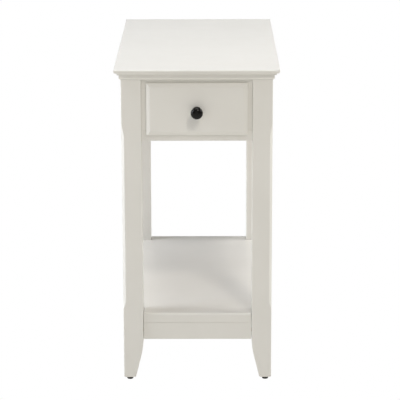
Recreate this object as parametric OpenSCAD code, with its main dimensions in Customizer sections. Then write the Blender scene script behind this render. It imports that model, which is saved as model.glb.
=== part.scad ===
// Narrow chairside table with one drawer and a lower shelf.
// Origin: on the floor, at the centre of the overall footprint, knob included.
// +X is to the right seen from the front, -Y is the drawer side, +Z is up. Millimetres.

/* [Overall] */
// Width of the top, side to side
top_w = 310; // [300:1:400]
// Depth of the top, front to back
top_d = 610; // [580:1:700]
// Height of the top's surface above the floor
table_h = 610; // [590:1:680]
// How far the top stands past the legs at the front and sides
overhang = 13; // [12:0.5:18]
// How far the top stands past the legs at the back, to clear a skirting board
rear_overhang = 24; // [13:0.5:28]

/* [Top and its moulding] */
// Thickness of the top board
top_t = 10; // [10:0.5:16]
// Thickness of the square lip along the top board's edge
lip_t = 3.4; // [3:0.1:4]
// Height of the moulding strips under the top board
moulding_h = 10; // [8:0.5:14]
// Width of the moulding strips
moulding_w = 42; // [40:1:44]
// How far the moulding's face stands in from the edge of the top
moulding_inset = 9.9; // [9:0.1:10.5]
// Radius of the cove at the foot of the moulding
cove_r = 2.5; // [2:0.5:5]

/* [Legs] */
// Width of the square leg
leg_w = 38; // [36:1:42]
// Width of each face taken off by the stopped chamfer
chamfer_w = 5; // [3:0.5:7]
// Height where the chamfer starts, above the floor
chamfer_low = 140; // [136:1:150]
// Height where the chamfer ends, above the floor
chamfer_high = 511; // [480:1:520]
// Radius of the curve that leads into the tapered foot
foot_curve_r = 160; // [120:5:180]
// Slope of the tapered foot from upright, in degrees
foot_slope = 14; // [10:2:16]
// Height where the foot starts to taper, above the floor
foot_top = 87; // [84:1:100]

/* [Drawer case] */
// Height of the case's lower edge above the floor
case_low = 473; // [460:1:480]
// How far rails, aprons and shelf stand back from the legs' faces
setback = 4; // [2:0.5:6]
// Thickness of the front rails and stiles
rail_t = 18; // [16:1:20]
// Thickness of the side and back aprons
apron_t = 16; // [14:1:18]
// Height of the upper front rail
upper_rail_h = 16; // [14:1:18]
// Height of the lower front rail
lower_rail_h = 20; // [18:1:22]
// Width of the upright stile beside each leg
stile_w = 18; // [16:1:20]

/* [Shelf] */
// Height of the shelf's surface above the floor
shelf_z = 133.5; // [130:0.5:136]
// Thickness of the shelf board
shelf_t = 18.5; // [16:0.5:19]
// Height of the rails under the shelf board
shelf_rail_h = 33; // [28:0.5:34]
// Gap between the shelf and the legs
shelf_gap = 0.6; // [0.3:0.1:1.5]
// Radius of the shelf board's front and rear upper edges
shelf_edge_r = 4; // [2:0.5:5]

/* [Drawer] */
// Width of the lipped drawer front
front_w = 189.5; // [186:0.5:194]
// Height of the lipped drawer front
front_h = 99; // [96:0.5:101]
// Thickness of the whole drawer front
front_t = 18; // [16:1:20]
// Thickness of the lip that covers the frame
front_lip_t = 6.5; // [5:0.5:8]
// Width of the bevel around the drawer front
bevel_w = 7; // [4:0.5:10]
// Depth of the bevel at the drawer front's edge
bevel_d = 3; // [2:0.5:4]
// Outside width of the drawer box
box_w = 168; // [160:1:169]
// Height of the drawer box's sides
box_h = 76; // [60:1:80]
// Length of the drawer box, behind its front
box_l = 410; // [380:5:440]
// Thickness of the drawer box's sides and back
box_t = 12; // [10:1:14]
// Thickness of the drawer's bottom panel
bottom_t = 4; // [3:0.5:6]
// How far the drawer pulls out before its catch meets the stop
travel = 300; // [250:5:320]

/* [Knob and feet] */
// Diameter of the knob's head
knob_d = 23; // [20:0.2:30]
// How far the knob stands out from the drawer front
knob_l = 25; // [18:0.5:28]
// How far the knob sits below the middle of the drawer front
knob_below = 3.5; // [0:0.5:6]
// Diameter of the foot glides
glide_d = 12; // [11:0.5:16]
// Height of the foot glides
glide_h = 5.5; // [5:0.5:10]

/* [Hidden] */
$fn = 48;
arc_steps = 4;
edge_ease = 0.6;
over = 1;

// the stopped chamfer's run-outs, and the foot's eased lower edge
chamfer_run_low = 20;
chamfer_run_high = 28;
foot_arris = 2;

// fits and running gaps
fit = 0.05;
hole_end = 10 * fit;
run_gap = 0.3;
side_play = 1;

// edge of the top board: lip, fillet and a reversed ogee of two equal arcs
top_arris_r = 0.8;
lip_fillet = 0.7;
ogee_r = 2.9;

// levels
board_low = table_h - top_t;
leg_high = board_low - moulding_h;
shelf_low = shelf_z - shelf_t;
shelf_rail_low = shelf_low - shelf_rail_h;
opening_low = case_low + lower_rail_h;
opening_high = leg_high - upper_rail_h;
runner_top = opening_low + 1;
box_low = runner_top + run_gap;
box_high = box_low + box_h;
kicker_low = opening_high + 2.5;
front_middle_high = opening_high - 1.5;

// widths
base_w = top_w - 2 * overhang;
base_d = top_d - overhang - rear_overhang;
half_w = base_w / 2;
half_gap = half_w - leg_w;
half_opening = half_gap - stile_w;
half_box = box_w / 2;

// depths, from the knob's nose at the front to the top's back edge
front_proud = front_lip_t + run_gap - setback;
knob_past_top = knob_l + front_proud - overhang;
overall_d = top_d + knob_past_top;
leg_y = overhang + knob_past_top - overall_d / 2;
back_y = leg_y + base_d;
top_y = leg_y - overhang + top_d / 2;
frame_y = leg_y + setback;
rail_back_y = frame_y + rail_t;
back_apron_y = back_y - setback - apron_t;
front_face_y = leg_y - front_proud;
box_y = front_face_y + front_t;
box_back_y = box_y + box_l;
stop_back_y = box_back_y - travel - run_gap;
strip_in = top_d / 2 - moulding_inset - moulding_w;

// heights of the drawer front's middle and of the knob
front_z = 534;
knob_z = front_z - knob_below;

// wooden dowels: 8 mm in the frame, 6 mm in the drawer and runners
dowel_d = 8;
dowel_l = 32;
dowel_inset = 30;
pin_d = 6;
pin_l = 22;
pin_inset = 18;

// screws: shank diameter, head diameter, head height, length under the head
wood_screw = [3.5, 7, 2.2, 25];
small_screw = [3, 5.6, 1.8, 16];
knob_bolt = [4, 8, 2.6, front_t + 9];
recess_w = 0.8;

// how deep the pocket below each screw's head is cut, through anything in the way
pocket = 20;

// glide nails: shank diameter, head diameter, head thickness, length, height of the head above the floor
nail = [2, 6, 1, 24, 2];
glide_ease = 1.2;

// the knob's flange and neck, and how far its head reaches back from its widest part
knob_flange_r = 9.3;
knob_flange_t = 1.5;
knob_neck_r = 5.4;
knob_neck_up = 4.5;
knob_middle = 17;
knob_drop = 6;
knob_steps = 9;

// runners, guides, kickers and cleats
runner_in = half_box - box_t - 2;
runner_out = half_gap - 9;
runner_h = 20;
guide_in = half_box + side_play;
guide_h = 20;
kicker_w = 20;
cleat_w = 20;
stop_w = 20;
catch_w = 24;
catch_t = 8;
catch_h = 46;
block_t = 13;
block_flare = 8;
groove_depth = 5;
groove_up = 8;
groove_play = 0.2;
groove_half = half_box - box_t + groove_depth;
groove_z = [box_low + groove_up, box_low + groove_up + bottom_t];
cleat_half = 210;

// how far apart screws stand from the middle, and how far in from an edge
kicker_screw_y = 190;
shelf_screw_y = 170;
bottom_screw_x = 45;
corner_screw_in = 10;
shelf_screw_down = 12;
back_screw_low = 30;
back_screw_high = 16;
catch_screw_down = 12;

apron_dowels_z = [case_low + dowel_inset, leg_high - dowel_inset];
case_dowels_x = concat(
    [for (s = [-1, 1]) [s * half_gap, frame_y + rail_t / 2, leg_high - upper_rail_h / 2]],
    [for (s = [-1, 1]) [s * half_gap, frame_y + rail_t / 2, case_low + lower_rail_h / 2]],
    [for (s = [-1, 1], z = apron_dowels_z) [s * half_gap, back_apron_y + apron_t / 2, z]]
);
case_dowels_y = [
    for (s = [-1, 1], y = [leg_y + leg_w, back_y - leg_w], z = apron_dowels_z)
        [s * (half_w - setback - apron_t / 2), y, z]
];
shelf_dowels_x = [
    for (s = [-1, 1], y = [frame_y + rail_t / 2, back_apron_y + apron_t / 2])
        [s * half_gap, y, shelf_rail_low + shelf_rail_h / 2]
];
shelf_dowels_y = [
    for (s = [-1, 1], y = [leg_y + leg_w, back_y - leg_w])
        [s * (half_w - setback - apron_t / 2), y, shelf_rail_low + shelf_rail_h / 2]
];
runner_dowels_y = [
    for (s = [-1, 1], y = [rail_back_y, back_apron_y])
        [s * (runner_in + runner_out) / 2, y, runner_top - runner_h / 2]
];
front_dowels_y = [
    for (s = [-1, 1], z = [box_low + pin_inset, box_high - pin_inset])
        [s * (half_box - box_t / 2), box_y, z]
];
foot_w = leg_w - foot_curve_r * (1 - cos(foot_slope))
    - (foot_top - foot_curve_r * sin(foot_slope) - glide_h) * tan(foot_slope);
glide_spots = [
    for (s = [-1, 1], e = [-1, 1])
        [s * (half_w - foot_w / 2), e < 0 ? leg_y + foot_w / 2 : back_y - foot_w / 2, 0]
];
corner_screw_spots = [
    for (s = [-1, 1], y = [leg_y + leg_w + corner_screw_in, back_y - leg_w - corner_screw_in])
        [s * (half_w - setback - apron_t - corner_screw_in), y, leg_high - 10]
];
kicker_screw_spots = [
    for (s = [-1, 1], e = [-1, 1])
        [s * (runner_in + kicker_w / 2), top_y + e * kicker_screw_y, kicker_low + 6]
];
shelf_screw_spots = [
    for (s = [-1, 1], e = [-1, 0, 1])
        [s * (half_w - setback - apron_t - cleat_w / 2), (leg_y + back_y) / 2 + e * shelf_screw_y,
            shelf_low - shelf_screw_down]
];
back_screw_spots = [
    for (s = [-1, 1], z = [box_low + back_screw_low, box_high - back_screw_high])
        [s * (half_box - 2.2), box_back_y - box_t / 2, z]
];
bottom_screw_spots = [for (s = [-1, 1]) [s * bottom_screw_x, box_back_y - box_t / 2, box_low + groove_up]];
catch_screw_spot = [0, box_back_y + catch_t - 2, box_high - catch_screw_down];
knob_screw_spot = [0, box_y, knob_z];

// colours of the paint, wood and hardware
paint = [0.87, 0.86, 0.82];
bare_wood = [0.80, 0.68, 0.50];
black_metal = [0.05, 0.05, 0.05];
black_plastic = [0.08, 0.08, 0.08];
steel = [0.70, 0.70, 0.72];

// ---- helpers ----

// points of an arc about c, from angle a0 to a1, leaving out the first point when first is 1
function arc(c, r, a0, a1, first = 0) = [
    for (i = [first : arc_steps]) let (a = a0 + (a1 - a0) * i / arc_steps)
        c + r * [cos(a), sin(a)]
];

// a right-hand outline closed by its own mirror image
function both_sides(right) = concat(
    right,
    [for (i = [len(right) - 1 : -1 : 0]) [-right[i][0], right[i][1]]]
);

// a box from its lowest and highest x, y and z
module box(x, y, z) {
    translate([x[0], y[0], z[0]])
        cube([x[1] - x[0], y[1] - y[0], z[1] - z[0]]);
}

// a box on the left (s = -1) or on the right (s = 1), from its inner and outer x
module side_box(s, x, y, z) {
    box([min(s * x[0], s * x[1]), max(s * x[0], s * x[1])], y, z);
}

// an outline in x and z, run along y
module along_y(length) {
    rotate([90, 0, 0])
        linear_extrude(length, center = true)
            children();
}

// an outline in y and z, run along x
module along_x(length) {
    rotate([90, 0, 90])
        linear_extrude(length, center = true)
            children();
}

module pegs_x(spots, d, length, gap = 0) {
    for (p = spots)
        translate(p)
            rotate([0, 90, 0])
                cylinder(d = d + 2 * gap, h = length + (gap > 0 ? hole_end : 0), center = true);
}

module pegs_y(spots, d, length, gap = 0) {
    for (p = spots)
        translate(p)
            rotate([90, 0, 0])
                cylinder(d = d + 2 * gap, h = length + (gap > 0 ? hole_end : 0), center = true);
}

// a screw that points up, with the underside of its head at z = 0 and a cross recess
module screw(size) {
    difference() {
        union() {
            cylinder(d = size[0], h = size[3]);
            translate([0, 0, -size[2]])
                cylinder(d = size[1], h = size[2]);
        }
        for (turn = [0, 90])
            rotate([0, 0, turn])
                translate([-size[1] / 4, -recess_w / 2, -size[2] - over])
                    cube([size[1] / 2, recess_w, over + size[2] / 2]);
    }
}

// the hole for that screw, with a pocket below its head
module screw_hole(size) {
    cylinder(d = size[0] + 2 * fit, h = size[3] + hole_end);
    translate([0, 0, -size[2] - pocket])
        cylinder(d = size[1] + 2 * fit, h = size[2] + pocket + fit);
}

// ---- top ----

module top_profile(w) {
    x = w / 2;
    ogee_x = x - lip_fillet - ogee_r;
    polygon(both_sides(concat(
        [[ogee_x - ogee_r, 0]],
        arc([ogee_x, top_t - lip_t - 2 * ogee_r], ogee_r, 180, 90),
        arc([ogee_x, top_t - lip_t], ogee_r, -90, 0, 1),
        [[x, top_t - lip_t]],
        arc([x - top_arris_r, top_t - top_arris_r], top_arris_r, 0, 90)
    )));
}

module top_panel() {
    color(paint)
        difference() {
            translate([0, top_y, board_low])
                intersection() {
                    along_y(top_d) top_profile(top_w);
                    along_x(top_w) top_profile(top_d);
                }
            screws_up(kicker_screw_spots, wood_screw);
            screws_up(corner_screw_spots, wood_screw);
        }
}

module moulding_profile(w) {
    x = w / 2;
    polygon(both_sides(concat(
        arc([x, 0], cove_r, 180, 90),
        [[x, moulding_h - edge_ease], [x - edge_ease, moulding_h]]
    )));
}

// one strip of the mitred ring; sx and sy point to its side of the table
module moulding(sx, sy) {
    ring_w = top_w - 2 * moulding_inset;
    ring_d = top_d - 2 * moulding_inset;
    ox = ring_w / 2;
    oy = ring_d / 2;
    ix = ox - moulding_w;
    iy = oy - moulding_w;
    outline = sy != 0
        ? [[-ox, sy * oy], [ox, sy * oy], [ix, sy * iy], [-ix, sy * iy]]
        : [[sx * ox, -oy], [sx * ox, oy], [sx * ix, iy], [sx * ix, -iy]];
    color(paint)
        difference() {
            translate([0, top_y, leg_high])
                intersection() {
                    along_y(ring_d) moulding_profile(ring_w);
                    along_x(ring_w) moulding_profile(ring_d);
                    translate([0, 0, -over])
                        linear_extrude(moulding_h + 2 * over)
                            polygon(outline);
                }
            screws_up(corner_screw_spots, wood_screw);
        }
}

// ---- legs ----

// one leg's outline seen along a face: straight outside, curved into a taper inside
module leg_profile() {
    curve = [
        for (a = [0 : 2 : foot_slope])
            [leg_w - foot_curve_r * (1 - cos(a)), foot_top - foot_curve_r * sin(a)]
    ];
    polygon(concat(
        [[leg_w, leg_high]],
        curve,
        [[foot_w, glide_h + foot_arris], [foot_w - foot_arris, glide_h]],
        [[foot_arris, glide_h], [0, glide_h + foot_arris], [0, leg_high]]
    ));
}

module chamfer_cutter() {
    deep = chamfer_w / sqrt(2);
    rotate([0, 0, 45])
        along_y(4 * chamfer_w)
            polygon([
                [-chamfer_w, chamfer_low], [0, chamfer_low], [deep, chamfer_low + chamfer_run_low],
                [deep, chamfer_high - chamfer_run_high], [0, chamfer_high], [-chamfer_w, chamfer_high]
            ]);
}

module leg_blank() {
    difference() {
        intersection() {
            translate([0, leg_w / 2, 0])
                along_y(leg_w)
                    leg_profile();
            translate([leg_w / 2, 0, 0])
                along_x(leg_w)
                    leg_profile();
        }
        chamfer_cutter();
    }
}

// sx and sy point to the leg's corner of the table
module leg(sx, sy) {
    color(paint)
        difference() {
            translate([sx * half_w, sy < 0 ? leg_y : back_y, 0])
                mirror([sx > 0 ? 1 : 0, 0, 0])
                    mirror([0, sy > 0 ? 1 : 0, 0])
                        leg_blank();
            pegs_x(concat(case_dowels_x, shelf_dowels_x), dowel_d, dowel_l, fit);
            pegs_y(concat(case_dowels_y, shelf_dowels_y), dowel_d, dowel_l, fit);
            nails(fit);
        }
}

module foot_glides() {
    color(black_plastic)
        difference() {
            for (p = glide_spots)
                translate(p)
                    rotate_extrude()
                        polygon([
                            [0, 0], [glide_d / 2 - glide_ease, 0], [glide_d / 2, glide_ease],
                            [glide_d / 2, glide_h], [0, glide_h]
                        ]);
            nails(fit);
        }
}

// each nail's head is moulded into its glide, above the wearing face
module nails(gap = 0) {
    for (p = glide_spots)
        translate([p[0], p[1], nail[4]]) {
            cylinder(d = nail[1] + 2 * gap, h = nail[2] + gap);
            cylinder(d = nail[0] + 2 * gap, h = nail[3] + (gap > 0 ? hole_end : 0));
        }
}

// ---- drawer case ----

module rail(x, z) {
    color(paint)
        difference() {
            box([-x, x], [frame_y, rail_back_y], z);
            pegs_x(concat(case_dowels_x, shelf_dowels_x), dowel_d, dowel_l, fit);
            pegs_y(runner_dowels_y, pin_d, pin_l, fit);
        }
}

module stile(s) {
    color(paint)
        side_box(s, [half_opening, half_gap], [frame_y, rail_back_y], [opening_low, opening_high]);
}

module side_board(s, z) {
    outer = half_w - setback;
    color(paint)
        difference() {
            side_box(s, [outer - apron_t, outer], [leg_y + leg_w, back_y - leg_w], z);
            pegs_y(concat(case_dowels_y, shelf_dowels_y), dowel_d, dowel_l, fit);
        }
}

module back_board(x, z) {
    color(paint)
        difference() {
            box([-x, x], [back_apron_y, back_apron_y + apron_t], z);
            pegs_x(concat(case_dowels_x, shelf_dowels_x), dowel_d, dowel_l, fit);
            pegs_y(runner_dowels_y, pin_d, pin_l, fit);
        }
}

// plates in the four upper corners, each notched round its leg
module corner_blocks() {
    inner = half_w - setback - apron_t;
    in_x = runner_in + kicker_w + 1;
    color(bare_wood)
        difference() {
            for (sx = [0, 1])
                mirror([sx, 0, 0])
                    translate([0, 0, leg_high - block_t])
                        linear_extrude(block_t) {
                            polygon([
                                [in_x, rail_back_y], [half_gap, rail_back_y], [half_gap, leg_y + leg_w],
                                [inner, leg_y + leg_w], [inner, leg_y + 2 * leg_w],
                                [in_x, leg_y + leg_w + block_flare]
                            ]);
                            polygon([
                                [in_x, back_apron_y], [half_gap, back_apron_y], [half_gap, back_y - leg_w],
                                [inner, back_y - leg_w], [inner, back_y - 2 * leg_w],
                                [in_x, back_y - leg_w - block_flare]
                            ]);
                        }
            screws_up(corner_screw_spots, wood_screw);
        }
}

// holes for screws that point up
module screws_up(spots, size) {
    for (p = spots)
        translate(p)
            screw_hole(size);
}

module screw_set(spots, size) {
    color(steel)
        for (p = spots)
            translate(p)
                screw(size);
}

// strips above the drawer's sides that stop it from tipping when it is out
module kicker(s) {
    color(bare_wood)
        difference() {
            side_box(s, [runner_in, runner_in + kicker_w],
                [top_y - strip_in, top_y + strip_in], [kicker_low, board_low]);
            screws_up(kicker_screw_spots, wood_screw);
        }
}

module stop_rail() {
    color(bare_wood)
        box([-runner_in, runner_in], [stop_back_y - stop_w, stop_back_y], [kicker_low, board_low]);
}

module runner(s) {
    color(bare_wood)
        difference() {
            side_box(s, [runner_in, runner_out], [rail_back_y, back_apron_y],
                [runner_top - runner_h, runner_top]);
            pegs_y(runner_dowels_y, pin_d, pin_l, fit);
        }
}

module guide(s) {
    color(bare_wood)
        side_box(s, [guide_in, runner_out], [rail_back_y, back_apron_y],
            [runner_top, runner_top + guide_h]);
}

// ---- shelf ----

module shelf_panel() {
    outer = half_w - setback;
    corner = leg_w - setback + shelf_gap;
    rear_y = back_y - setback;
    r = shelf_edge_r;
    color(paint)
        difference() {
            translate([0, 0, shelf_low])
                along_x(2 * outer)
                    polygon(concat(
                        [[frame_y, 0]],
                        arc([frame_y + r, shelf_t - r], r, 180, 90),
                        arc([rear_y - r, shelf_t - r], r, 90, 0),
                        [[rear_y, 0]]
                    ));
            for (s = [-1, 1]) {
                side_box(s, [outer - corner, outer + over], [frame_y - over, frame_y + corner],
                    [shelf_low - over, shelf_z + over]);
                side_box(s, [outer - corner, outer + over], [rear_y - corner, rear_y + over],
                    [shelf_low - over, shelf_z + over]);
            }
            screws_up(shelf_screw_spots, wood_screw);
        }
}

module shelf_cleat(s) {
    inner = half_w - setback - apron_t;
    middle = (leg_y + back_y) / 2;
    color(bare_wood)
        difference() {
            side_box(s, [inner - cleat_w, inner], [middle - cleat_half, middle + cleat_half],
                [shelf_low - cleat_w, shelf_low]);
            screws_up(shelf_screw_spots, wood_screw);
        }
}

// ---- drawer ----

// the lip stands on the frame's face, and the thicker middle fills the opening
module drawer_front() {
    color(paint)
        difference() {
            union() {
                translate([0, front_face_y, front_z])
                    intersection() {
                        linear_extrude(front_h, center = true)
                            lip_profile(front_w);
                        rotate([0, 90, 0])
                            linear_extrude(front_w, center = true)
                                lip_profile(front_h);
                    }
                box([-half_box, half_box], [front_face_y + bevel_d + over, box_y],
                    [box_low, front_middle_high]);
            }
            pegs_y(front_dowels_y, pin_d, pin_l, fit);
            box([-groove_half, groove_half], [box_y - groove_depth, box_y + over], groove_z);
            knob_screw_hole();
        }
}

// the lip's section across its width: flat back, bevelled front edges
module lip_profile(w) {
    polygon([
        [-w / 2, bevel_d], [-w / 2 + bevel_w, 0], [w / 2 - bevel_w, 0], [w / 2, bevel_d],
        [w / 2, front_lip_t], [-w / 2, front_lip_t]
    ]);
}

module drawer_side(s) {
    color(bare_wood)
        difference() {
            side_box(s, [half_box - box_t, half_box], [box_y, box_back_y], [box_low, box_high]);
            bottom_groove();
            pegs_y(front_dowels_y, pin_d, pin_l, fit);
            back_screws(true);
        }
}

module bottom_groove() {
    box([-groove_half, groove_half], [box_y - groove_depth, box_back_y + over], groove_z);
}

module drawer_back() {
    inner = half_box - box_t;
    color(bare_wood)
        difference() {
            box([-inner, inner], [box_back_y - box_t, box_back_y],
                [groove_z[1], box_high]);
            back_screws(true);
            screws_up(bottom_screw_spots, small_screw);
            catch_screw_hole();
        }
}

module drawer_bottom() {
    half = groove_half - groove_play;
    color(bare_wood)
        difference() {
            box([-half, half], [box_y - groove_depth + groove_play, box_back_y], groove_z);
            screws_up(bottom_screw_spots, small_screw);
        }
}

// screws through the drawer's sides into the ends of its back
module back_screws(hole = false) {
    for (p = back_screw_spots)
        translate(p)
            rotate([0, p[0] > 0 ? -90 : 90, 0])
                if (hole) screw_hole(small_screw);
                else screw(small_screw);
}

// a turn-button on the drawer's back that meets the stop rail
module drawer_catch() {
    color(bare_wood)
        difference() {
            box([-catch_w / 2, catch_w / 2], [box_back_y, box_back_y + catch_t],
                [box_high - catch_h / 2, box_high + catch_h / 2]);
            catch_screw_hole();
        }
}

module catch_screw_hole() {
    translate(catch_screw_spot)
        rotate([90, 0, 0])
            screw_hole(small_screw);
}

// ---- knob ----

module knob_screw_hole() {
    translate(knob_screw_spot)
        rotate([90, 0, 0])
            screw_hole(knob_bolt);
}

// flange, neck, then a head of two half ellipses, turned about the knob's axis
module knob() {
    r = knob_d / 2;
    start = acos(knob_neck_r / r);
    color(black_metal)
        difference() {
            translate([0, front_face_y, knob_z])
                rotate([90, 0, 0])
                    rotate_extrude($fn = 64)
                        polygon(concat(
                            [[0, 0], [knob_flange_r, 0]],
                            [[knob_flange_r, knob_flange_t], [knob_neck_r, knob_neck_up]],
                            [
                                for (i = [0 : knob_steps]) let (a = start * (1 - i / knob_steps))
                                    [r * cos(a), knob_middle - knob_drop * sin(a)]
                            ],
                            [
                                for (i = [1 : knob_steps]) let (a = 90 * i / knob_steps)
                                    [r * cos(a), knob_middle + (knob_l - knob_middle) * sin(a)]
                            ]
                        ));
            knob_screw_hole();
        }
}

// ---- nodes ----

top_panel();
moulding(0, -1);  // moulding_front
moulding(0, 1);  // moulding_back
moulding(-1, 0);  // moulding_left
moulding(1, 0);  // moulding_right
leg(-1, -1);  // leg_front_left
leg(1, -1);  // leg_front_right
leg(-1, 1);  // leg_rear_left
leg(1, 1);  // leg_rear_right
foot_glides();
color(steel) nails();  // glide_nails
rail(half_gap, [opening_high, leg_high]);  // upper_front_rail
rail(half_gap, [case_low, opening_low]);  // lower_front_rail
stile(-1);  // stile_left
stile(1);  // stile_right
side_board(-1, [case_low, leg_high]);  // side_apron_left
side_board(1, [case_low, leg_high]);  // side_apron_right
back_board(half_gap, [case_low, leg_high]);  // back_apron
color(bare_wood) {  // case_dowels
        pegs_x(case_dowels_x, dowel_d, dowel_l);
        pegs_y(case_dowels_y, dowel_d, dowel_l);
    }
corner_blocks();
screw_set(corner_screw_spots, wood_screw);  // corner_block_screws
kicker(-1);  // kicker_left
kicker(1);  // kicker_right
screw_set(kicker_screw_spots, wood_screw);  // kicker_screws
stop_rail();
runner(-1);  // runner_left
runner(1);  // runner_right
guide(-1);  // guide_left
guide(1);  // guide_right
color(bare_wood) pegs_y(runner_dowels_y, pin_d, pin_l);  // runner_dowels
shelf_panel();
rail(half_gap - shelf_gap, [shelf_rail_low, shelf_low]);  // shelf_rail_front
back_board(half_gap, [shelf_rail_low, shelf_low]);  // shelf_rail_back
side_board(-1, [shelf_rail_low, shelf_low]);  // shelf_rail_left
side_board(1, [shelf_rail_low, shelf_low]);  // shelf_rail_right
shelf_cleat(-1);  // shelf_cleat_left
shelf_cleat(1);  // shelf_cleat_right
color(bare_wood) {  // shelf_dowels
        pegs_x(shelf_dowels_x, dowel_d, dowel_l);
        pegs_y(shelf_dowels_y, dowel_d, dowel_l);
    }
screw_set(shelf_screw_spots, wood_screw);  // shelf_screws
drawer_front();
drawer_side(-1);  // drawer_side_left
drawer_side(1);  // drawer_side_right
drawer_back();
drawer_bottom();
color(bare_wood) pegs_y(front_dowels_y, pin_d, pin_l);  // drawer_dowels
color(steel) back_screws();  // drawer_back_screws
screw_set(bottom_screw_spots, small_screw);  // drawer_bottom_screws
drawer_catch();
color(steel)  // catch_screw
        translate(catch_screw_spot)
            rotate([90, 0, 0])
                screw(small_screw);
knob();
color(steel)  // knob_screw
        translate(knob_screw_spot)
            rotate([90, 0, 0])
                screw(knob_bolt);
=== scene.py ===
"""Narrow chairside table: camera, studio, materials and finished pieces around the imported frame.

Metres, in the frame's own axes: +X to the right seen from the front, -Y the drawer side, +Z up.
"""

import math

import bmesh
import bpy
from mathutils import Matrix, Vector


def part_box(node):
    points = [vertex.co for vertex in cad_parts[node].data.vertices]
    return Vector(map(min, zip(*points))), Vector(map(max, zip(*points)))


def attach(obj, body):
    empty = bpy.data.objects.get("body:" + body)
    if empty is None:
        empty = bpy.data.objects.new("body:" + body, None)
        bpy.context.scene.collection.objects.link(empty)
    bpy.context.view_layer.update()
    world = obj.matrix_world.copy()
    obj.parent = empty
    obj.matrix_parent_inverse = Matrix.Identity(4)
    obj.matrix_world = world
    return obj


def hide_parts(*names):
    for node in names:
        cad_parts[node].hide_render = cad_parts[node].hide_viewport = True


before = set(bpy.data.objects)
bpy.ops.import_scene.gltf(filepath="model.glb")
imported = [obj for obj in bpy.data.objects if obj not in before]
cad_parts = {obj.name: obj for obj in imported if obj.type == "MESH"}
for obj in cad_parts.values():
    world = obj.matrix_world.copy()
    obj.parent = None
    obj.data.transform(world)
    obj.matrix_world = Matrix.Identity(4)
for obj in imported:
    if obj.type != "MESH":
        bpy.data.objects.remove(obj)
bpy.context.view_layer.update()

MM = 0.001
TABLE_BODY = "table"
DRAWER_BODY = "drawer"

# ---- sizes of the finished pieces, nearly all of them the design's own ----

ARC_STEPS = 6
CORNER_STEPS = 3
WELD = 1e-6
SHARP_ANGLE = math.radians(50)
FLAT_ANGLE = math.radians(1)
EDGE_ANGLE = math.radians(40)
SHORTEST_EDGE = 7 * MM
EASE = 0.6 * MM
LEAST_CORNER = 0.3 * MM

LIP_T = 3.4 * MM
LIP_ARRIS = 0.8 * MM
LIP_FILLET = 0.7 * MM
OGEE_R = 2.9 * MM
STRIP_W = 42 * MM
COVE_R = 2.5 * MM

LEG_ARRIS = 1.2 * MM
CHAMFER_W = 5 * MM
CHAMFER_LOW = 140 * MM
CHAMFER_HIGH = 515 * MM
CHAMFER_RUN_LOW = 20 * MM
CHAMFER_RUN_HIGH = 36 * MM
FOOT_TOP = 87 * MM
FOOT_CURVE_R = 160 * MM
FOOT_SLOPE = math.radians(14)
FOOT_ARRIS = 2 * MM
FOOT_ROUND_UP = 0.5 * MM
FOOT_ROUND_SHARE = 0.6

SETBACK = 4 * MM
SHELF_GAP = 0.6 * MM
SHELF_EDGE_R = 4 * MM

BEVEL_W = 7 * MM
BEVEL_D = 3 * MM
BEVEL_CREASE = [
    # past the bevel's inner edge, depth behind the face
    (-0.4 * MM, 0.2 * MM),
    (0, 0.03 * MM),
    (0.6 * MM, 0),
]
FRONT_LIP_T = 6.5 * MM
FRONT_ARRIS = 0.5 * MM
MIDDLE_DOWN = 11 * MM

KNOB_FLANGE_R = 9.3 * MM
KNOB_FLANGE_T = 1.5 * MM
KNOB_NECK_R = 5.4 * MM
KNOB_MIDDLE = 17 * MM
KNOB_DROP = 6 * MM
KNOB_NECK_SHARE = 0.72
KNOB_NECK_IN = 0.5 * MM
KNOB_NECK_CURVE = 2.2
KNOB_ARRIS = 0.3 * MM

GLIDE_R = 6 * MM
GLIDE_EASE = 1.2 * MM
GLIDE_RIM = 0.4 * MM
TIP_R = 0.15 * MM
ROUND_STEPS = 64


# ---- outlines ----


def arc(centre, radius, start, end, steps=ARC_STEPS):
    """Points of an arc about centre, from start to end in degrees, ends included."""
    angles = [math.radians(start + (end - start) * i / steps) for i in range(steps + 1)]
    return [(centre[0] + radius * math.cos(a), centre[1] + radius * math.sin(a)) for a in angles]


def rounded(corners, radius):
    """A closed outline with each corner rounded, which may turn either way."""
    points = []
    for i, corner in enumerate(corners):
        here = Vector(corner)
        back = (Vector(corners[i - 1]) - here).normalized()
        ahead = (Vector(corners[(i + 1) % len(corners)]) - here).normalized()
        half = back.angle(ahead) / 2
        reach = radius / math.tan(half)
        centre = here + (back + ahead).normalized() * (radius / math.sin(half))
        first, last = here + back * reach - centre, here + ahead * reach - centre
        for k in range(CORNER_STEPS + 1):
            spoke = first.lerp(last, k / CORNER_STEPS).normalized() * radius
            points.append(tuple(centre + spoke))
    return points


def rectangle(x, y, inset):
    """Corners of a rectangle drawn in from its lowest and highest x and y, anticlockwise."""
    return [
        (x[0] + inset, y[0] + inset),
        (x[1] - inset, y[0] + inset),
        (x[1] - inset, y[1] - inset),
        (x[0] + inset, y[1] - inset),
    ]


def sides(node):
    """A CAD node's extent along x, y and z."""
    low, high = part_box(node)
    return tuple((low[i], high[i]) for i in range(3))


# ---- meshes ----


def piece(name, bm, material, node, body=TABLE_BODY):
    """Turns a bmesh into a finished piece that stands for a CAD node."""
    bmesh.ops.remove_doubles(bm, verts=bm.verts, dist=WELD)
    bmesh.ops.recalc_face_normals(bm, faces=bm.faces)
    mesh = bpy.data.meshes.new(name)
    bm.to_mesh(mesh)
    bm.free()
    for face in mesh.polygons:
        face.use_smooth = True
    mesh.set_sharp_from_angle(angle=SHARP_ANGLE)
    obj = bpy.data.objects.new(name, mesh)
    bpy.context.scene.collection.objects.link(obj)
    shade = obj.modifiers.new("even_shading", "WEIGHTED_NORMAL")
    shade.keep_sharp = True
    mesh.materials.append(material)
    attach(obj, body)
    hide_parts(node)


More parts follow.
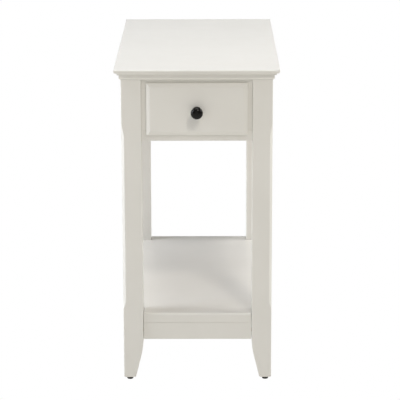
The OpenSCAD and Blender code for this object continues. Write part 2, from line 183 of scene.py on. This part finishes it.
def loft(rings):
    """A closed skin through rings of points, all with the same count."""
    bm = bmesh.new()
    loops = [[bm.verts.new(p) for p in ring] for ring in rings]
    count = len(loops[0])
    for low, high in zip(loops, loops[1:]):
        for i in range(count):
            j = (i + 1) % count
            bm.faces.new((low[i], low[j], high[j], high[i]))
    bm.faces.new(loops[0][::-1])
    bm.faces.new(loops[-1])
    return bm


def at_height(outline, z):
    """Lifts a flat outline to a height."""
    return [(x, y, z) for x, y in outline]


def lathe(profile, place):
    """Turns (radius, height) points about an axis; place maps (x, y, height) to the frame."""
    rings = []
    for radius, height in profile:
        turns = [math.tau * k / ROUND_STEPS for k in range(ROUND_STEPS)]
        rings.append([place(radius * math.cos(t), radius * math.sin(t), height) for t in turns])
    return loft(rings)


def eased(node, radius=EASE):
    """A CAD node's shape with its long outer edges rounded; holes and grooves stay crisp."""
    bm = bmesh.new()
    bm.from_mesh(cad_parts[node].data)
    bmesh.ops.remove_doubles(bm, verts=bm.verts, dist=WELD)
    bmesh.ops.dissolve_limit(bm, angle_limit=FLAT_ANGLE, verts=bm.verts, edges=bm.edges)
    long_edges = [
        e for e in bm.edges
        if e.is_manifold and e.is_convex
        and e.calc_face_angle() > EDGE_ANGLE and e.calc_length() > SHORTEST_EDGE
    ]
    bmesh.ops.bevel(
        bm, geom=long_edges, offset=radius, offset_type="OFFSET",
        segments=3, profile=0.5, affect="EDGES", clamp_overlap=False,
    )
    return bm


# ---- material helpers ----

PATTERN_SPAN = (0.3, 0.7)


def new_material(name):
    """An empty material with a Principled shader; returns it with its tree, shader and place."""
    material = bpy.data.materials.new(name)
    material.use_nodes = True
    tree = material.node_tree
    tree.nodes.clear()
    shader = tree.nodes.new("ShaderNodeBsdfPrincipled")
    output = tree.nodes.new("ShaderNodeOutputMaterial")
    tree.links.new(shader.outputs["BSDF"], output.inputs["Surface"])
    place = tree.nodes.new("ShaderNodeTexCoord").outputs["Object"]
    return material, tree, shader, place


def scaled(tree, place, scale):
    """Stretches a pattern's place along each axis."""
    mapping = tree.nodes.new("ShaderNodeMapping")
    mapping.inputs["Scale"].default_value = scale
    tree.links.new(place, mapping.inputs["Vector"])
    return mapping.outputs["Vector"]


def noise(tree, place, scale, detail=3.0, rough=0.5):
    """A soft random pattern; scale is in ripples to the metre."""
    node = tree.nodes.new("ShaderNodeTexNoise")
    node.inputs["Scale"].default_value = scale
    node.inputs["Detail"].default_value = detail
    node.inputs["Roughness"].default_value = rough
    tree.links.new(place, node.inputs["Vector"])
    return node.outputs["Fac"]


def spread(tree, value, low, high):
    """Maps the middle part of a 0 to 1 pattern to the range low to high."""
    node = tree.nodes.new("ShaderNodeMapRange")
    node.inputs["From Min"].default_value = PATTERN_SPAN[0]
    node.inputs["From Max"].default_value = PATTERN_SPAN[1]
    node.inputs["To Min"].default_value = low
    node.inputs["To Max"].default_value = high
    tree.links.new(value, node.inputs["Value"])
    return node.outputs["Result"]


def ramp(tree, value, stops):
    """A colour ramp; stops are (position, colour)."""
    node = tree.nodes.new("ShaderNodeValToRGB")
    elements = node.color_ramp.elements
    elements[0].position, elements[0].color = stops[0][0], (*stops[0][1], 1)
    elements[1].position, elements[1].color = stops[-1][0], (*stops[-1][1], 1)
    for position, colour in stops[1:-1]:
        elements.new(position).color = (*colour, 1)
    tree.links.new(value, node.inputs["Fac"])
    return node.outputs["Color"]


def bump(tree, height, distance, strength, under=None):
    """Fine relief from a pattern, laid over the relief beneath it where there is one."""
    node = tree.nodes.new("ShaderNodeBump")
    node.inputs["Distance"].default_value = distance
    node.inputs["Strength"].default_value = strength
    tree.links.new(height, node.inputs["Height"])
    if under is not None:
        tree.links.new(under, node.inputs["Normal"])
    return node.outputs["Normal"]


# ---- materials ----


def white_paint():
    """Sprayed warm-white lacquer: faint orange peel over slightly uneven wood, satin."""
    material, tree, shader, place = new_material("white_paint")
    tint = noise(tree, place, 9.0, detail=4.0)
    colour = ramp(tree, tint, [(0.35, (0.800, 0.788, 0.745)), (0.65, (0.820, 0.808, 0.767))])
    tree.links.new(colour, shader.inputs["Base Color"])
    gloss = noise(tree, place, 40.0, detail=2.0)
    tree.links.new(spread(tree, gloss, 0.30, 0.36), shader.inputs["Roughness"])
    swell = bump(tree, noise(tree, place, 12.0, detail=1.0), 0.05 * MM, 0.3)
    peel = bump(tree, noise(tree, place, 160.0, detail=1.0), 0.006 * MM, 0.3, under=swell)
    tree.links.new(peel, shader.inputs["Normal"])
    return material


def wood(name, along, dark, light, ring_scale=60.0):
    """Bare sanded wood whose grain runs along one axis."""
    material, tree, shader, place = new_material(name)
    squeeze = [1.0, 1.0, 1.0]
    squeeze["xyz".index(along)] = 0.06
    stretched = scaled(tree, place, squeeze)
    bands = tree.nodes.new("ShaderNodeTexWave")
    bands.wave_type = "BANDS"
    bands.bands_direction = "DIAGONAL"
    bands.inputs["Scale"].default_value = ring_scale
    bands.inputs["Distortion"].default_value = 7.0
    bands.inputs["Detail"].default_value = 3.0
    bands.inputs["Detail Scale"].default_value = 1.2
    tree.links.new(stretched, bands.inputs["Vector"])
    colour = ramp(tree, bands.outputs["Fac"], [(0.1, dark), (0.55, light), (0.95, dark)])
    along_fibre = scaled(tree, place, [3.0 * s * s + 0.02 for s in squeeze])
    fibre = noise(tree, along_fibre, 500.0, detail=5.0, rough=0.65)
    mix = tree.nodes.new("ShaderNodeMix")
    mix.data_type = "RGBA"
    mix.blend_type = "MULTIPLY"
    mix.inputs["Factor"].default_value = 0.35
    tree.links.new(colour, mix.inputs["A"])
    pores = ramp(tree, fibre, [(0.3, (0.55, 0.48, 0.40)), (0.6, (1.0, 1.0, 1.0))])
    tree.links.new(pores, mix.inputs["B"])
    tree.links.new(mix.outputs["Result"], shader.inputs["Base Color"])
    tree.links.new(spread(tree, fibre, 0.62, 0.50), shader.inputs["Roughness"])
    tree.links.new(bump(tree, fibre, 0.1 * MM, 0.4), shader.inputs["Normal"])
    return material


def black_metal():
    """Near-black semi-gloss coating on the knob."""
    material, tree, shader, place = new_material("black_metal")
    tint = noise(tree, place, 300.0, detail=3.0)
    colour = ramp(tree, tint, [(0.3, (0.005, 0.0047, 0.004)), (0.7, (0.008, 0.0072, 0.006))])
    tree.links.new(colour, shader.inputs["Base Color"])
    tree.links.new(spread(tree, noise(tree, place, 600.0), 0.15, 0.19), shader.inputs["Roughness"])
    shader.inputs["Specular IOR Level"].default_value = 0.05
    shader.inputs["Coat Weight"].default_value = 0.3
    shader.inputs["Coat Roughness"].default_value = 0.1
    grain = bump(tree, noise(tree, place, 900.0, detail=2.0), 0.02 * MM, 0.5)
    tree.links.new(grain, shader.inputs["Normal"])
    return material


def black_plastic():
    """Matt moulded plastic of the glides."""
    material, tree, shader, place = new_material("black_plastic")
    grain = noise(tree, place, 1500.0, detail=3.0)
    colour = ramp(tree, grain, [(0.3, (0.018, 0.018, 0.018)), (0.7, (0.032, 0.031, 0.03))])
    tree.links.new(colour, shader.inputs["Base Color"])
    tree.links.new(spread(tree, grain, 0.45, 0.6), shader.inputs["Roughness"])
    tree.links.new(bump(tree, grain, 0.05 * MM, 0.5), shader.inputs["Normal"])
    return material


def zinc_steel():
    """Zinc-plated steel of screws and nails, with fine turning marks."""
    material, tree, shader, place = new_material("zinc_steel")
    shader.inputs["Metallic"].default_value = 1.0
    blotch = noise(tree, place, 700.0, detail=4.0)
    colour = ramp(tree, blotch, [(0.3, (0.50, 0.50, 0.53)), (0.7, (0.68, 0.68, 0.69))])
    tree.links.new(colour, shader.inputs["Base Color"])
    tree.links.new(spread(tree, blotch, 0.25, 0.45), shader.inputs["Roughness"])
    tree.links.new(bump(tree, noise(tree, place, 2500.0), 0.02 * MM, 0.4), shader.inputs["Normal"])
    return material


PAINT = white_paint()
HARDWOOD = {
    axis: wood(f"hardwood_{axis}", axis, (0.52, 0.36, 0.20), (0.68, 0.51, 0.32)) for axis in "xyz"
}
PLYWOOD = wood("plywood_y", "y", (0.60, 0.45, 0.28), (0.74, 0.59, 0.40), ring_scale=14.0)
KNOB_BLACK = black_metal()
GLIDE_BLACK = black_plastic()
ZINC = zinc_steel()


# ---- top ----


def top_board(node):
    """The top board: square lip with a soft arris, a fillet, then a reversed ogee beneath."""
    x, y, z = sides(node)
    lip_low = z[1] - LIP_T
    ogee = LIP_FILLET + OGEE_R
    profile = [(ogee + OGEE_R, z[0])]
    profile += [(ogee - dx, h) for dx, h in arc((0, lip_low - 2 * OGEE_R), OGEE_R, 180, 90)]
    profile += [(ogee - dx, h) for dx, h in arc((0, lip_low), OGEE_R, -90, 0)]
    profile += [(EASE / 2, lip_low), (0, lip_low + EASE / 2)]
    profile += [(LIP_ARRIS - dx, h) for dx, h in arc((0, z[1] - LIP_ARRIS), LIP_ARRIS, 0, 90)]
    rings = []
    for inset, height in profile:
        corner = max(LIP_ARRIS - inset, LEAST_CORNER)
        rings.append(at_height(rounded(rectangle(x, y, inset), corner), height))
    piece("top_board", loft(rings), PAINT, node)


def moulding_strip(node, side):
    """One mitred strip of the ring under the top; side is the way its face looks."""
    ring_x = (sides("moulding_left")[0][0], sides("moulding_right")[0][1])
    ring_y = (sides("moulding_front")[1][0], sides("moulding_back")[1][1])
    z = sides(node)[2]
    profile = [(STRIP_W, z[0]), (COVE_R + EASE / 2, z[0])]
    profile += [(-dx, h) for dx, h in arc((0, z[0]), COVE_R, 180, 90)]
    profile += [(EASE - dx, h) for dx, h in arc((0, z[1] - EASE), EASE, 0, 90, 2)]
    profile += [(STRIP_W, z[1])]
    ends = []
    for end in (-1, 1):
        ring = []
        for inset, height in profile:
            half = (
                (ring_x[1] - ring_x[0]) / 2 - inset,
                (ring_y[1] - ring_y[0]) / 2 - inset,
            )
            middle = ((ring_x[0] + ring_x[1]) / 2, (ring_y[0] + ring_y[1]) / 2)
            if side[1]:
                point = (middle[0] + end * half[0], middle[1] + side[1] * half[1])
            else:
                point = (middle[0] + side[0] * half[0], middle[1] + end * half[1])
            ring.append((*point, height))
        ends.append(ring)
    piece(node + "_strip", loft(ends), PAINT, node)


# ---- legs ----


def leg_width(width, height):
    """Width of the leg's two tapering faces at a height above the floor."""
    drop = FOOT_TOP - height
    if drop <= 0:
        return width
    curve_drop = FOOT_CURVE_R * math.sin(FOOT_SLOPE)
    if drop <= curve_drop:
        return width - FOOT_CURVE_R + math.sqrt(FOOT_CURVE_R**2 - drop**2)
    at_slope = width - FOOT_CURVE_R * (1 - math.cos(FOOT_SLOPE))
    return at_slope - (drop - curve_drop) * math.tan(FOOT_SLOPE)


def chamfer_width(height):
    """Width taken off each outer face by the stopped chamfer, softly run out at both ends."""
    up = (height - CHAMFER_LOW) / CHAMFER_RUN_LOW
    down = (CHAMFER_HIGH - height) / CHAMFER_RUN_HIGH
    share = max(0.0, min(1.0, up, down))
    share = share * share * (3 - 2 * share)
    least = LEG_ARRIS * (2 - math.sqrt(2))
    return max(CHAMFER_W * share, least)


def leg(node, sx, sy):
    """A square leg; sx and sy point to its corner of the table."""
    x, y, z = sides(node)
    width = x[1] - x[0]
    outer = (x[0] if sx < 0 else x[1], y[0] if sy < 0 else y[1])

    def ring(height, shrink=0.0):
        w = leg_width(width, height) - shrink
        c = chamfer_width(height)
        s = shrink
        corners = [(s + c, s), (w, s), (w, w), (s, w), (s, s + c)]
        outline = rounded(corners, LEG_ARRIS)
        return [(outer[0] - sx * u, outer[1] - sy * v, height) for u, v in outline]

    foot_low = z[0] + FOOT_ARRIS
    slope_start = FOOT_TOP - FOOT_CURVE_R * math.sin(FOOT_SLOPE)
    heights = [foot_low + (slope_start - foot_low) * i / 3 for i in range(4)]
    heights += [slope_start + (FOOT_TOP - slope_start) * i / 12 for i in range(1, 13)]
    heights += [CHAMFER_LOW - MM, CHAMFER_LOW]
    heights += [CHAMFER_LOW + CHAMFER_RUN_LOW * i / 8 for i in range(1, 9)]
    heights += [CHAMFER_HIGH - CHAMFER_RUN_HIGH * i / 8 for i in range(8, -1, -1)]
    heights += [CHAMFER_HIGH + MM, z[1] - EASE]
    rings = [ring(z[0], FOOT_ARRIS), ring(z[0] + FOOT_ROUND_UP, FOOT_ARRIS * FOOT_ROUND_SHARE)]
    rings += [ring(h) for h in heights]
    rings.append(ring(z[1], EASE / 2))
    piece(node + "_post", loft(rings), PAINT, node)


def glides(node):
    """Four round plastic glides nailed into the feet."""
    x, y, z = sides(node)
    radius = GLIDE_R
    profile = [(TIP_R, z[0]), (radius - GLIDE_EASE - MM, z[0])]
    profile += arc((radius - GLIDE_EASE, z[0] + GLIDE_EASE), GLIDE_EASE, -90, 0)
    profile += [(radius, z[1] - GLIDE_RIM), (radius - GLIDE_RIM, z[1]), (TIP_R, z[1])]
    whole = bmesh.new()
    for cx in (x[0] + radius, x[1] - radius):
        for cy in (y[0] + radius, y[1] - radius):
            one = lathe(profile, lambda u, v, h: (cx + u, cy + v, h))
            mesh = bpy.data.meshes.new("glide")
            one.to_mesh(mesh)
            one.free()
            whole.from_mesh(mesh)
            bpy.data.meshes.remove(mesh)
    piece("glides", whole, GLIDE_BLACK, node)


# ---- shelf ----


def shelf_board(node):
    """The shelf: notched round the legs, rounded along its front and back edges."""
    x, y, z = sides(node)
    leg_box = sides("leg_front_right")
    notch = leg_box[0][1] - leg_box[0][0] - SETBACK + SHELF_GAP

    def ring(ends, rest, height):
        x0, x1 = x[0] + rest, x[1] - rest
        y0, y1 = y[0] + ends, y[1] - ends
        nx0, nx1 = x[0] + notch + rest, x[1] - notch - rest
        ny0, ny1 = y[0] + notch + rest, y[1] - notch - rest
        corners = [
            (nx0, y0), (nx1, y0), (nx1, ny0), (x1, ny0), (x1, ny1), (nx1, ny1),
            (nx1, y1), (nx0, y1), (nx0, ny1), (x0, ny1), (x0, ny0), (nx0, ny0),
        ]
        return at_height(rounded(corners, EASE), height)

    rings = [ring(EASE, EASE, z[0]), ring(0, 0, z[0] + EASE)]
    start = z[1] - SHELF_EDGE_R
    for cx, h in arc((0, start), SHELF_EDGE_R, 0, 90, 8):
        rest = max(0.0, EASE - math.sqrt(max(0.0, EASE**2 - max(0.0, h - z[1] + EASE) ** 2)))
        rings.append(ring(SHELF_EDGE_R - cx, rest, h))
    piece("shelf_board", loft(rings), PAINT, node)


# ---- drawer ----


def drawer_face(node):
    """The lipped drawer front: flat field, bevelled lip, and the thicker middle behind."""
    x, y, z = sides(node)
    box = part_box("drawer_side_left")[0].x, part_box("drawer_side_right")[1].x
    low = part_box("drawer_side_left")[0].z
    high = z[1] - MIDDLE_DOWN
    face = y[0]
    lip_back = face + FRONT_LIP_T

    def ring(span_x, span_z, inset, depth):
        outline = rounded(rectangle(span_x, span_z, inset), FRONT_ARRIS)
        return [(u, depth, v) for u, v in outline]

    middle = (box, (low, high))
    lip = (x, z)
    rings = [
        ring(*middle, EASE, y[1]),
        ring(*middle, 0, y[1] - EASE),
        ring(*middle, 0, lip_back),
        ring(*lip, FRONT_ARRIS, lip_back),
        ring(*lip, 0, lip_back - FRONT_ARRIS),
        ring(*lip, 0, face + BEVEL_D + FRONT_ARRIS),
    ]
    slope = math.degrees(math.atan2(BEVEL_D, BEVEL_W))
    for dx, d in arc((FRONT_ARRIS, face + BEVEL_D + FRONT_ARRIS), FRONT_ARRIS, 180, 270 - slope, 3):
        rings.append(ring(*lip, dx, d))
    for past, depth in BEVEL_CREASE:
        rings.append(ring(*lip, BEVEL_W + past, face + depth))
    piece("drawer_face", loft(rings), PAINT, node, DRAWER_BODY)


def knob(node):
    """Flange, waisted neck and domed head, turned about the knob's own axis."""
    x, y, z = sides(node)
    cx, cz = (x[0] + x[1]) / 2, (z[0] + z[1]) / 2
    head_r = (x[1] - x[0]) / 2
    length = y[1] - y[0]
    dome = length - KNOB_MIDDLE
    start = math.acos(KNOB_NECK_R / head_r)
    neck_foot = KNOB_FLANGE_R - KNOB_NECK_IN
    neck_length = (KNOB_MIDDLE - KNOB_DROP - KNOB_FLANGE_T) * KNOB_NECK_SHARE
    profile = [(KNOB_FLANGE_R - KNOB_ARRIS, 0), (KNOB_FLANGE_R, KNOB_ARRIS)]
    profile += [(KNOB_FLANGE_R - KNOB_ARRIS, KNOB_FLANGE_T)]
    for i in range(1, 9):
        t = i / 8
        ease = 1 - (1 - t) ** KNOB_NECK_CURVE
        radius = neck_foot - (neck_foot - KNOB_NECK_R) * ease
        profile.append((radius, KNOB_FLANGE_T + neck_length * t))
    for i in range(15):
        a = start * (1 - i / 14)
        profile.append((head_r * math.cos(a), KNOB_MIDDLE - KNOB_DROP * math.sin(a)))
    for i in range(1, 20):
        a = math.pi / 2 * i / 20
        profile.append((head_r * math.cos(a), KNOB_MIDDLE + dome * math.sin(a)))
    profile.append((TIP_R, length))
    bm = lathe(profile, lambda u, v, h: (cx + u, y[1] - h, cz + v))
    piece("knob_turned", bm, KNOB_BLACK, node, DRAWER_BODY)


# ---- build the finished pieces ----

top_board("top_panel")
for name, side in {"front": (0, -1), "back": (0, 1), "left": (-1, 0), "right": (1, 0)}.items():
    moulding_strip("moulding_" + name, side)
for end, sy in {"front": -1, "rear": 1}.items():
    for name, sx in {"left": -1, "right": 1}.items():
        leg(f"leg_{end}_{name}", sx, sy)
glides("foot_glides")
shelf_board("shelf_panel")
drawer_face("drawer_front")
knob("knob")

PAINTED_BOARDS = [
    "upper_front_rail", "lower_front_rail", "stile_left", "stile_right",
    "side_apron_left", "side_apron_right", "back_apron",
    "shelf_rail_front", "shelf_rail_back", "shelf_rail_left", "shelf_rail_right",
]
for node in PAINTED_BOARDS:
    piece(node + "_board", eased(node), PAINT, node)

RAW_BOARDS = {
    "corner_blocks": "x", "kicker_left": "y", "kicker_right": "y", "stop_rail": "x",
    "runner_left": "y", "runner_right": "y", "guide_left": "y", "guide_right": "y",
    "shelf_cleat_left": "y", "shelf_cleat_right": "y",
}
for node, axis in RAW_BOARDS.items():
    piece(node + "_wood", eased(node), HARDWOOD[axis], node)

DRAWER_BOARDS = {
    "drawer_side_left": "y", "drawer_side_right": "y", "drawer_back": "x", "drawer_catch": "z",
}
for node, axis in DRAWER_BOARDS.items():
    piece(node + "_wood", eased(node), HARDWOOD[axis], node, DRAWER_BODY)
bottom = eased("drawer_bottom", EASE / 2)
piece("drawer_bottom_wood", bottom, PLYWOOD, "drawer_bottom", DRAWER_BODY)

for name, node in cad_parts.items():
    if not node.hide_render:
        finish = ZINC if "screw" in name or "nail" in name else HARDWOOD["y"]
        node.data.materials.clear()
        node.data.materials.append(finish)


# ---- floor, light and camera ----

ROOM_HALF = 40.0
SEEN_DROP = 0.05 * MM
LIT_DROP = 0.1 * MM
FLOOR_SEEN = (1.0, 1.0, 1.0)
FLOOR_GLOW = (0.50, 0.48, 0.43)
FLOOR_MATT = 0.35
WORLD_GLOW = 0.15

WARM = (1.0, 0.94, 0.86)
COOL = (0.90, 0.93, 1.0)
NEUTRAL = (1.0, 1.0, 1.0)
AIM = Vector((0, 0, 0.35))
SOFTBOX_AWAY = 2.5

SOFTBOXES = [
    # name, azimuth, elevation, size, power, colour
    ("key", 20, 45, 0.3, 12, WARM),
    ("front_fill", 0, 15, 1.5, 3, WARM),
    ("left_high", -80, 35, 1.3, 25, COOL),
    ("left_low", -80, 10, 1.3, 25, COOL),
    ("right", 90, 30, 1.3, 30, NEUTRAL),
    ("overhead", 0, 85, 1.6, 28, NEUTRAL),
    ("behind", 180, 45, 1.6, 5, NEUTRAL),
]

LENS = 174.7
SENSOR = 36.0
CAMERA_AT = (0.021, -3.84, 1.263)
CAMERA_DOWN = 14.26
CAMERA_TURN = 0.25
CAMERA_ROLL = -0.15


def glowing(name, colour, matt_share):
    """A flat surface material that gives off light and scatters some of what reaches it."""
    material = bpy.data.materials.new(name)
    material.use_nodes = True
    tree = material.node_tree
    tree.nodes.clear()
    output = tree.nodes.new("ShaderNodeOutputMaterial")
    glow = tree.nodes.new("ShaderNodeEmission")
    glow.inputs["Color"].default_value = (*colour, 1)
    matt = tree.nodes.new("ShaderNodeBsdfDiffuse")
    matt.inputs["Color"].default_value = (matt_share, matt_share, matt_share, 1)
    both = tree.nodes.new("ShaderNodeAddShader")
    tree.links.new(glow.outputs["Emission"], both.inputs[0])
    tree.links.new(matt.outputs["BSDF"], both.inputs[1])
    tree.links.new(both.outputs["Shader"], output.inputs["Surface"])
    return material


def stage_piece(name, bm, material):
    """A floor or backdrop, which is no part of the table."""
    mesh = bpy.data.meshes.new(name)
    bm.to_mesh(mesh)
    bm.free()
    mesh.materials.append(material)
    obj = bpy.data.objects.new(name, mesh)
    bpy.context.scene.collection.objects.link(obj)
    return obj


def studio_floor():
    """White all round where the camera looks; a dimmer floor lights the table from below."""
    room = bmesh.new()
    bmesh.ops.create_cube(room, size=2 * ROOM_HALF)
    bmesh.ops.translate(room, vec=(0, 0, ROOM_HALF - SEEN_DROP), verts=room.verts)
    seen = stage_piece("floor_seen", room, glowing("floor_white", FLOOR_SEEN, 0.0))
    seen.visible_diffuse = False
    seen.visible_glossy = False
    seen.visible_transmission = False
    seen.visible_shadow = False
    ground = bmesh.new()
    bmesh.ops.create_grid(ground, size=ROOM_HALF)
    bmesh.ops.translate(ground, vec=(0, 0, -LIT_DROP), verts=ground.verts)
    lit = stage_piece("floor_lit", ground, glowing("floor_pale", FLOOR_GLOW, FLOOR_MATT))
    lit.visible_camera = False


def softbox(name, azimuth, elevation, size, power, colour):
    """A square area light aimed at the table's middle. Azimuth 0 is in front, 90 to the right."""
    light = bpy.data.lights.new(name, "AREA")
    light.size = size
    light.energy = power
    light.color = colour
    obj = bpy.data.objects.new(name, light)
    bpy.context.scene.collection.objects.link(obj)
    a, e = math.radians(azimuth), math.radians(elevation)
    toward = Vector((math.sin(a) * math.cos(e), -math.cos(a) * math.cos(e), math.sin(e)))
    obj.location = AIM + toward * SOFTBOX_AWAY
    obj.rotation_euler = toward.to_track_quat("Z", "Y").to_euler()


def studio_world():
    """Dim even light from all round."""
    world = bpy.data.worlds.new("studio")
    world.use_nodes = True
    tree = world.node_tree
    tree.nodes.clear()
    output = tree.nodes.new("ShaderNodeOutputWorld")
    even = tree.nodes.new("ShaderNodeBackground")
    even.inputs["Color"].default_value = (*NEUTRAL, 1)
    even.inputs["Strength"].default_value = WORLD_GLOW
    tree.links.new(even.outputs["Background"], output.inputs["Surface"])
    bpy.context.scene.world = world


def camera():
    """Stands well back and a little above the table, looking down at its front."""
    data = bpy.data.cameras.new("camera")
    data.lens = LENS
    data.sensor_width = SENSOR
    data.clip_end = 5 * ROOM_HALF
    obj = bpy.data.objects.new("camera", data)
    bpy.context.scene.collection.objects.link(obj)
    tilt = Matrix.Rotation(math.radians(90 - CAMERA_DOWN), 4, "X")
    turn = Matrix.Rotation(math.radians(CAMERA_TURN), 4, "Z")
    roll = Matrix.Rotation(math.radians(CAMERA_ROLL), 4, "Z")
    obj.matrix_world = Matrix.Translation(CAMERA_AT) @ turn @ tilt @ roll
    bpy.context.scene.camera = obj


studio_floor()
studio_world()
for name, *settings in SOFTBOXES:
    softbox(name, *settings)
camera()
scene = bpy.context.scene
scene.view_settings.view_transform = "Standard"
scene.view_settings.look = "None"
